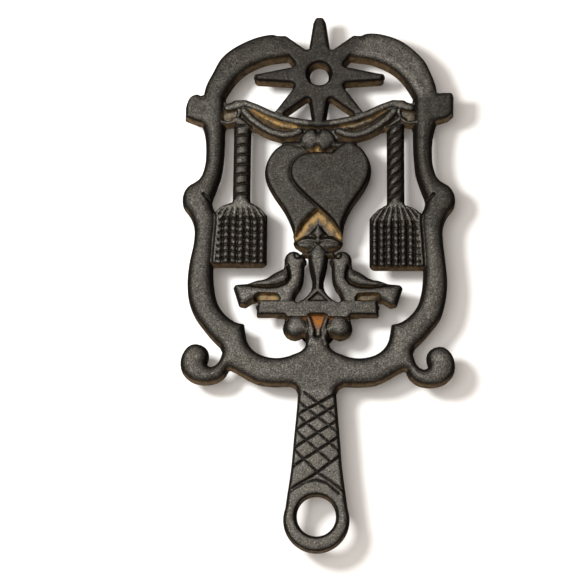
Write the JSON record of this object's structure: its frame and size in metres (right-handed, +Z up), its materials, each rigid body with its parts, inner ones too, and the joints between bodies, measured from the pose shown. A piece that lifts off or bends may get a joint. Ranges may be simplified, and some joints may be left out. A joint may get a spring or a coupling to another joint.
{
  "type": "openwork cast iron trivet with handle",
  "caption": "Flat openwork cast iron stand with a star, a draped swag, brushes, overlapping hearts and birds in a scrolled rail, a crosshatched handle with a hanging ring, and short peg legs.",
  "frame": {"origin": "middle of the outline seen from above, on the table plane under the leg tips", "axes": "+Z up, +Y from the hanging ring toward the star along the handle, +X to the right seen from above with the handle toward the viewer"},
  "size_m": [0.11, 0.2186, 0.0202],
  "materials": {
    "iron": "dark seasoned sand-cast iron with a fine grain, browner in the recesses"
  },
  "bodies": {
    "root": {"arch_left": "iron", "ear_left": "iron", "side_rail_left": "iron", "lower_rail_left": "iron", "scroll_foot_left": "iron", "center_scroll_left": "iron", "swag_left": "iron", "swag_curl_left": "iron", "brush_handle_left": "iron", "brush_head_left": "iron", "bird_left": "iron", "leg_upper_left": "iron", "leg_lower_left": "iron", "arch_right": "iron", "ear_right": "iron", "side_rail_right": "iron", "lower_rail_right": "iron", "scroll_foot_right": "iron", "center_scroll_right": "iron", "swag_right": "iron", "swag_curl_right": "iron", "brush_handle_right": "iron", "brush_head_right": "iron", "bird_right": "iron", "leg_upper_right": "iron", "leg_lower_right": "iron", "star": "iron", "bow_knot": "iron", "heart_front": "iron", "heart_back": "iron", "center_post": "iron", "base_bar": "iron", "handle_root": "iron", "handle_grip": "iron", "hang_ring": "iron"}
  },
  "joints": []
}
